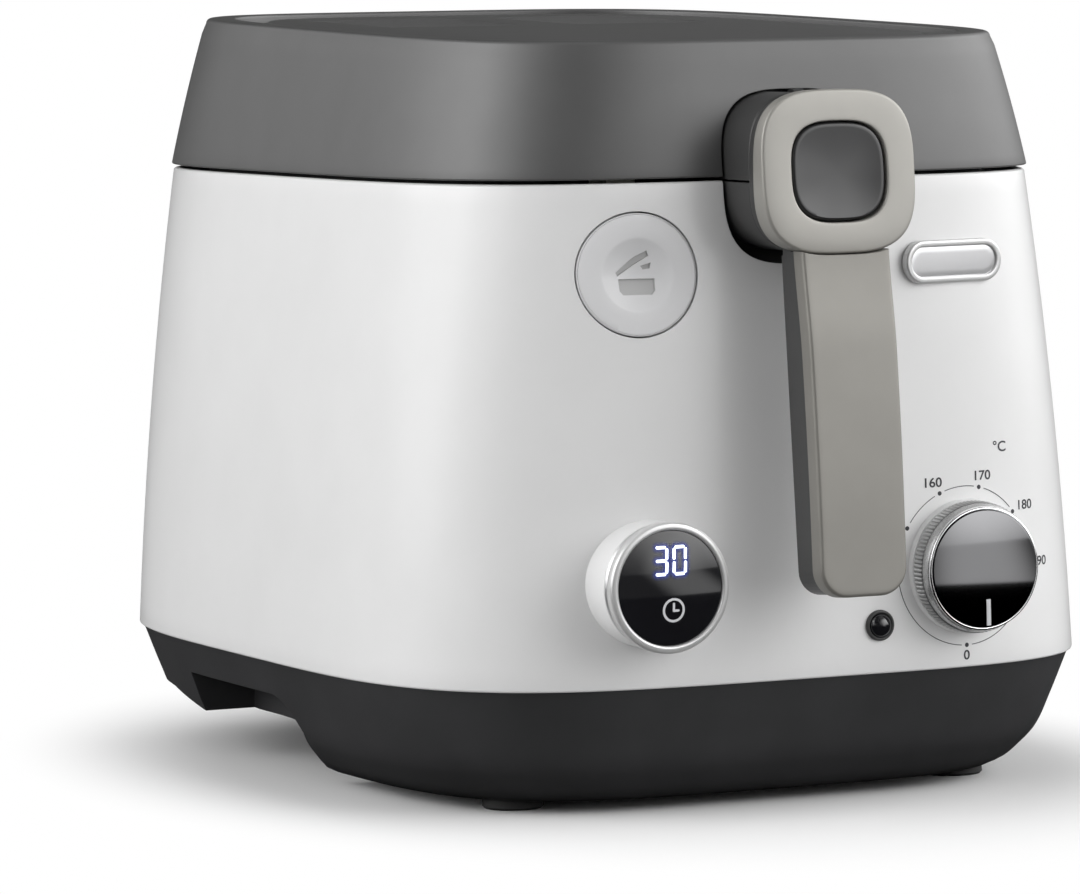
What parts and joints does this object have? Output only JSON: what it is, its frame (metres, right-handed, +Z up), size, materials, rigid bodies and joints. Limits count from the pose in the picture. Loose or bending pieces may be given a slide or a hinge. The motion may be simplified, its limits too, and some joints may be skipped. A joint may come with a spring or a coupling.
{
  "type": "deep fryer",
  "caption": "Oil fryer with tapered housing, hinged lid with filter, fixed bowl, lifting basket, fold-out handle, timer and temperature dial.",
  "frame": {"origin": "centre of the overall box on the surface it stands on", "axes": "+Z up, -Y towards the user (front with handle and controls), +X to the user's right"},
  "size_m": [0.3398, 0.4699, 0.3308],
  "materials": {
    "base_plastic": "fine matt moulded texture",
    "foot_rubber": "matt",
    "steel": "satin",
    "body_white": "pearl gloss",
    "button_white": "satin gloss",
    "bowl_coating": "non-stick coating",
    "black_plastic": "matt",
    "natural_plastic": "matt",
    "brass": "plain",
    "knob_satin": "satin silver",
    "chrome": "polished",
    "basket_wire": "plated wire",
    "gloss_black": "high gloss",
    "lid_grey": "satin metallic grey",
    "filter_foam": "open foam",
    "hub_dark": "satin",
    "champagne": "satin metallic",
    "handle_button": "satin gloss"
  },
  "bodies": {
    "housing": {"base_shell": "base_plastic", "foot_front_left": "foot_rubber", "foot_front_right": "foot_rubber", "foot_rear_left": "foot_rubber", "foot_rear_right": "foot_rubber", "base_screws": "steel", "body_shell": "body_white", "rim_collar": "base_plastic", "bowl": "bowl_coating", "bowl_brackets": "steel", "heating_element": "steel", "heat_shield": "steel", "thermal_cutout": "black_plastic", "terminal_block": "natural_plastic", "cord_gland": "black_plastic", "thermostat_body": "steel", "sensor_bulb": "brass", "lamp_bezel": "knob_satin", "pilot_lamp": "gloss_black", "timer_bezel": "body_white", "timer_ring": "chrome", "timer_module": "base_plastic", "timer_spring": "steel", "badge_plate": "chrome", "button_guide": "natural_plastic", "button_spring": "steel", "latch_pin": "steel", "hinge_bracket": "base_plastic", "hinge_pin": "steel", "hub_lower": "hub_dark", "hub_upper": "hub_dark", "hub_screws": "steel", "handle_pin": "steel"},
    "lid": {"lid_shell": "lid_grey", "lid_liner": "steel", "lid_gasket": "foot_rubber", "lid_catch": "natural_plastic", "lid_screws": "steel", "filter_pad": "filter_foam"},
    "filter_cover": {"filter_cover": "lid_grey"},
    "handle": {"handle_frame": "hub_dark", "handle_ring": "champagne", "handle_arm": "champagne", "handle_spring": "steel"},
    "handle_button": {"handle_button": "handle_button"},
    "basket": {"lift_carriage": "steel", "basket_rim": "basket_wire", "basket_mesh": "basket_wire"},
    "knob": {"thermostat_shaft": "brass", "thermostat_knob": "knob_satin", "knob_ring": "chrome", "knob_cap": "gloss_black"},
    "timer_face": {"timer_face": "gloss_black"},
    "release_button": {"release_button": "button_white"},
    "latch": {"latch_lever": "natural_plastic"}
  },
  "joints": [
    {"name": "lid_hinge", "type": "hinge", "parent": "housing", "child": "lid", "pos_m": [0, 0.2295, 0.262], "axis": [-1, 0, 0], "range_deg": [0, 80]},
    {"name": "filter_lift", "type": "slide", "parent": "lid", "child": "filter_cover", "axis": [0, -0.0291, 0.9996], "range_m": [0, 0.03]},
    {"name": "handle_fold", "type": "hinge", "parent": "housing", "child": "handle", "pos_m": [0, -0.1935, 0.2909], "axis": [-1, 0, 0], "range_deg": [0, 90]},
    {"name": "basket_lift", "type": "slide", "parent": "housing", "child": "basket", "axis": [0, 0, 1], "range_m": [0, 0.035]},
    {"name": "handle_button_press", "type": "slide", "parent": "handle", "child": "handle_button", "axis": [0, 1, 0], "range_m": [0, 0.0025], "stiffness_N_per_m": 400, "deforming": ["handle_spring"]},
    {"name": "release_press", "type": "slide", "parent": "housing", "child": "release_button", "axis": [0, 1, 0], "range_m": [0, 0.004], "stiffness_N_per_m": 400, "deforming": ["button_spring"]},
    {"name": "latch_turn", "type": "hinge", "parent": "housing", "child": "latch", "pos_m": [-0.0737, -0.16066, 0.2435], "axis": [1, 0, 0], "range_deg": [0, 12.5]},
    {"name": "thermostat_turn", "type": "hinge", "parent": "housing", "child": "knob", "pos_m": [0.075, -0.1915, 0.0974], "axis": [0, 1, 0], "range_deg": [0, 268]},
    {"name": "timer_press", "type": "slide", "parent": "housing", "child": "timer_face", "axis": [0, 1, 0], "range_m": [0, 0.0012], "stiffness_N_per_m": 600, "deforming": ["timer_spring"]}
  ],
  "couplings": [
    {"joint": "basket_lift", "follows": "handle_fold", "m_per_rad": 0.022281},
    {"joint": "latch_turn", "follows": "release_press", "rad_per_m": 52}
  ]
}
